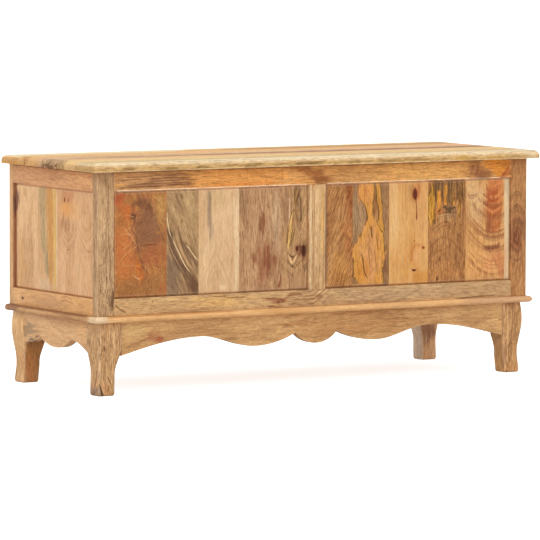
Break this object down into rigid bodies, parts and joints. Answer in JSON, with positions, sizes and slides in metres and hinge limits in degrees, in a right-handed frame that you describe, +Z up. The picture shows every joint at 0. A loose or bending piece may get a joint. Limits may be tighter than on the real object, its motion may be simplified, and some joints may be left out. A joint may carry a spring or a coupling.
{
  "type": "storage box",
  "caption": "Plank-built storage chest on curved legs: framed and panelled case, scalloped aprons, nosed base moulding and a hinged lid.",
  "frame": {"origin": "on the floor, at the middle of the whole object's footprint, hinge barrels included", "axes": "+X along the length to the right of someone facing the front, -Y out of the front, +Z up"},
  "size_m": [1.1, 0.4054, 0.4813],
  "materials": {
    "honey_wood": "orange-brown hardwood plank, waxed satin",
    "straw_wood": "tan hardwood plank, waxed satin",
    "rust_wood": "red-brown hardwood plank, waxed satin",
    "umber_wood": "brown hardwood plank, waxed satin",
    "ash_wood": "grey-brown hardwood plank, waxed satin",
    "cream_wood": "pale hardwood plank, waxed satin",
    "hinge_metal": "plain satin brass"
  },
  "bodies": {
    "chest": {"front_left_stile": "ash_wood", "front_right_stile": "umber_wood", "back_left_stile": "honey_wood", "back_right_stile": "straw_wood", "front_top_rail": "honey_wood", "front_bottom_rail": "straw_wood", "front_muntin": "cream_wood", "front_left_board_1": "rust_wood", "front_left_board_2": "ash_wood", "front_left_board_3": "straw_wood", "front_left_board_4": "ash_wood", "front_left_board_5": "umber_wood", "front_right_board_1": "umber_wood", "front_right_board_2": "honey_wood", "front_right_board_3": "straw_wood", "front_right_board_4": "umber_wood", "front_right_board_5": "rust_wood", "front_right_board_6": "cream_wood", "back_top_rail": "straw_wood", "back_bottom_rail": "honey_wood", "back_muntin": "ash_wood", "back_left_board_1": "honey_wood", "back_right_board_1": "straw_wood", "left_top_rail": "honey_wood", "left_bottom_rail": "straw_wood", "left_board_1": "cream_wood", "left_board_2": "straw_wood", "right_top_rail": "straw_wood", "right_bottom_rail": "honey_wood", "right_board_1": "honey_wood", "right_board_2": "ash_wood", "floor_board_1": "straw_wood", "floor_board_2": "straw_wood", "front_moulding": "honey_wood", "left_moulding": "umber_wood", "right_moulding": "umber_wood", "back_moulding": "straw_wood", "front_left_leg": "ash_wood", "front_right_leg": "straw_wood", "back_left_leg": "honey_wood", "back_right_leg": "umber_wood", "front_apron": "honey_wood", "back_apron": "straw_wood", "left_apron": "straw_wood", "right_apron": "straw_wood", "hinge_1_case_leaf": "hinge_metal", "hinge_1_pin": "hinge_metal", "hinge_2_case_leaf": "hinge_metal", "hinge_2_pin": "hinge_metal"},
    "lid": {"lid_board_1": "cream_wood", "lid_board_2": "straw_wood", "lid_board_3": "honey_wood", "lid_board_4": "ash_wood", "lid_board_5": "straw_wood", "left_lid_batten": "straw_wood", "right_lid_batten": "straw_wood", "hinge_1_lid_leaf": "hinge_metal", "hinge_2_lid_leaf": "hinge_metal"}
  },
  "joints": [
    {"name": "lid_hinge", "type": "hinge", "parent": "chest", "child": "lid", "pos_m": [0, 0.1995, 0.4629], "axis": [-1, 0, 0], "range_deg": [0, 95]}
  ]
}
